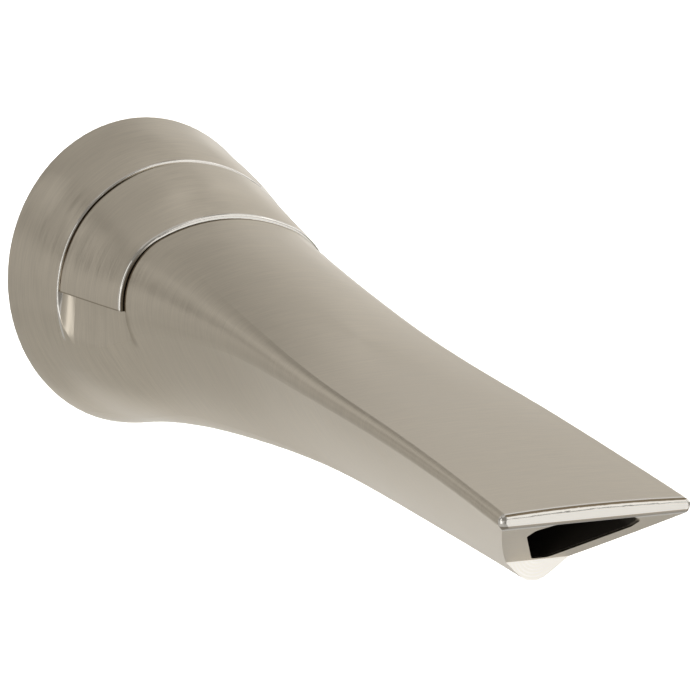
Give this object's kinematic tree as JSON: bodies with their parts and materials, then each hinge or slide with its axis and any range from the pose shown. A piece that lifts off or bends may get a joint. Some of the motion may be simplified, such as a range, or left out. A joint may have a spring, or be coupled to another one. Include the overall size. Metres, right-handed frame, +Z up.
{
  "type": "tub spout",
  "caption": "Wall mounted tub spout with a round flange, a long drooping flat-topped beak, a slanted outlet and a saddle collar that lifts to divert the water.",
  "frame": {"origin": "on the axis of the supply tube, where the tube socket opens in the wall plane", "axes": "+Z up, the spout reaches out along -Y, +Y points into the wall, the plane x = 0 is the middle of the spout"},
  "size_m": [0.08, 0.2072, 0.0979],
  "materials": {
    "brushed_nickel": "fine brushed nickel plate with polished edges",
    "collar_nickel": "fine brushed nickel plate, polished front edge",
    "white_nylon": "moulded nylon",
    "foam_gasket": "closed-cell foam",
    "brass_hub": "turned brass",
    "brass_plate": "milled brass",
    "black_rubber": "moulded rubber",
    "red_rubber": "moulded silicone rubber",
    "steel_screws": "cold-headed stainless steel",
    "steel_rod": "ground stainless steel",
    "steel_spring": "drawn stainless wire",
    "acetal": "moulded acetal"
  },
  "bodies": {
    "spout": {"spout_body": "brushed_nickel", "wall_gasket": "foam_gasket", "inlet_hub": "brass_hub", "tube_oring_rear": "black_rubber", "tube_oring_front": "black_rubber", "hub_face_oring": "black_rubber", "hub_screws": "steel_screws", "set_screw": "steel_screws", "seat_gasket": "black_rubber", "seat_plate": "brass_plate", "seat_screws": "steel_screws", "gate_track": "acetal", "return_spring": "steel_spring", "roof_bushing": "brass_hub", "roof_oring": "black_rubber"},
    "diverter": {"diverter_collar": "collar_nickel", "collar_glide_left": "white_nylon", "collar_glide_right": "white_nylon", "gate": "brass_plate", "gate_seal": "red_rubber", "stem": "steel_rod", "stem_clip": "steel_rod", "spring_washer": "steel_rod"}
  },
  "joints": [
    {"name": "collar_lift", "type": "slide", "parent": "spout", "child": "diverter", "axis": [0, 0, 1], "range_m": [0, 0.008], "stiffness_N_per_m": 60, "springref_m": -0.004, "deforming": ["return_spring"]}
  ]
}
